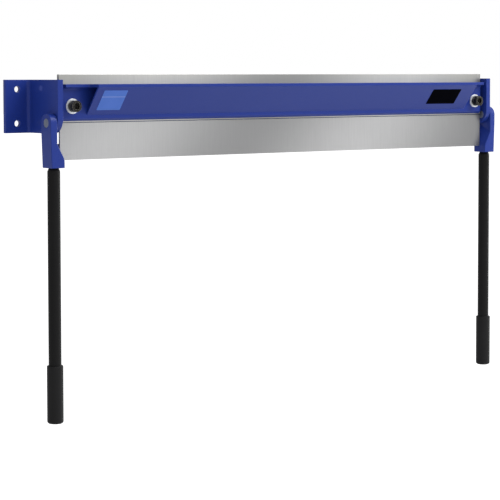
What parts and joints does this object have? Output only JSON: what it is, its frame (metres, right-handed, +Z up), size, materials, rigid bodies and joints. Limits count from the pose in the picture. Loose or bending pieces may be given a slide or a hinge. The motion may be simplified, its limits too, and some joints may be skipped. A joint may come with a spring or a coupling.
{
  "type": "sheet metal folding machine",
  "caption": "Bench-mounted sheet metal folder: a bed and hinged leaf of bare steel, a bolted clamp beam on springs, bolt-on side brackets and a long handle at each end.",
  "frame": {"origin": "centre of the four bench bolt holes, on the rear face of the two bracket flanges", "axes": "+X along the bed towards the right-hand bracket, +Y out of the flanges' rear face towards the bench, +Z up from the leaf to the bed, with the handles hanging down"},
  "size_m": [1.026, 0.118, 0.5452],
  "materials": {
    "blue_paint": "gloss enamel",
    "bare_steel": "bare, ground along the length",
    "pin_steel": "bare turned bar",
    "black_paint": "satin black",
    "grip_rubber": "matt, moulded",
    "black_oxide": "black oxide",
    "zinc_plate": "bright zinc plate",
    "spring_steel": "oiled spring steel"
  },
  "bodies": {
    "frame": {"bed_plate": "bare_steel", "bed_angle": "blue_paint", "clamp_springs": "spring_steel", "left_side_bracket": "blue_paint", "left_hinge_pin": "pin_steel", "left_threaded_boss": "blue_paint", "right_side_bracket": "blue_paint", "right_hinge_pin": "pin_steel", "right_threaded_boss": "blue_paint"},
    "leaf": {"leaf_plate": "bare_steel", "leaf_angle": "blue_paint", "left_handle_block": "blue_paint", "left_handle_bar": "black_paint", "left_hand_grip": "grip_rubber", "right_handle_block": "blue_paint", "right_handle_bar": "black_paint", "right_hand_grip": "grip_rubber"},
    "clamp": {"clamp_angle": "blue_paint", "clamp_cover_plate": "blue_paint", "clamp_washers": "zinc_plate"},
    "left_bolt": {"left_clamp_bolt": "black_oxide"},
    "right_bolt": {"right_clamp_bolt": "black_oxide"}
  },
  "joints": [
    {"name": "leaf_fold", "type": "hinge", "parent": "frame", "child": "leaf", "pos_m": [0, -0.078, -0.025], "axis": [-1, 0, 0], "range_deg": [0, 120]},
    {"name": "clamp_lift", "type": "slide", "parent": "frame", "child": "clamp", "axis": [0, -1, 0], "range_m": [0, 0.003], "deforming": ["clamp_springs"]},
    {"name": "left_bolt_turn", "type": "hinge", "parent": "clamp", "child": "left_bolt", "pos_m": [-0.438, -0.078, 0.0007], "axis": [0, -1, 0], "range_deg": [0, 618]},
    {"name": "right_bolt_turn", "type": "hinge", "parent": "clamp", "child": "right_bolt", "pos_m": [0.438, -0.078, 0.0007], "axis": [0, -1, 0], "range_deg": [0, 618]}
  ],
  "couplings": [
    {"joint": "left_bolt_turn", "follows": "clamp_lift", "rad_per_m": 3590.4},
    {"joint": "right_bolt_turn", "follows": "clamp_lift", "rad_per_m": 3590.4}
  ]
}
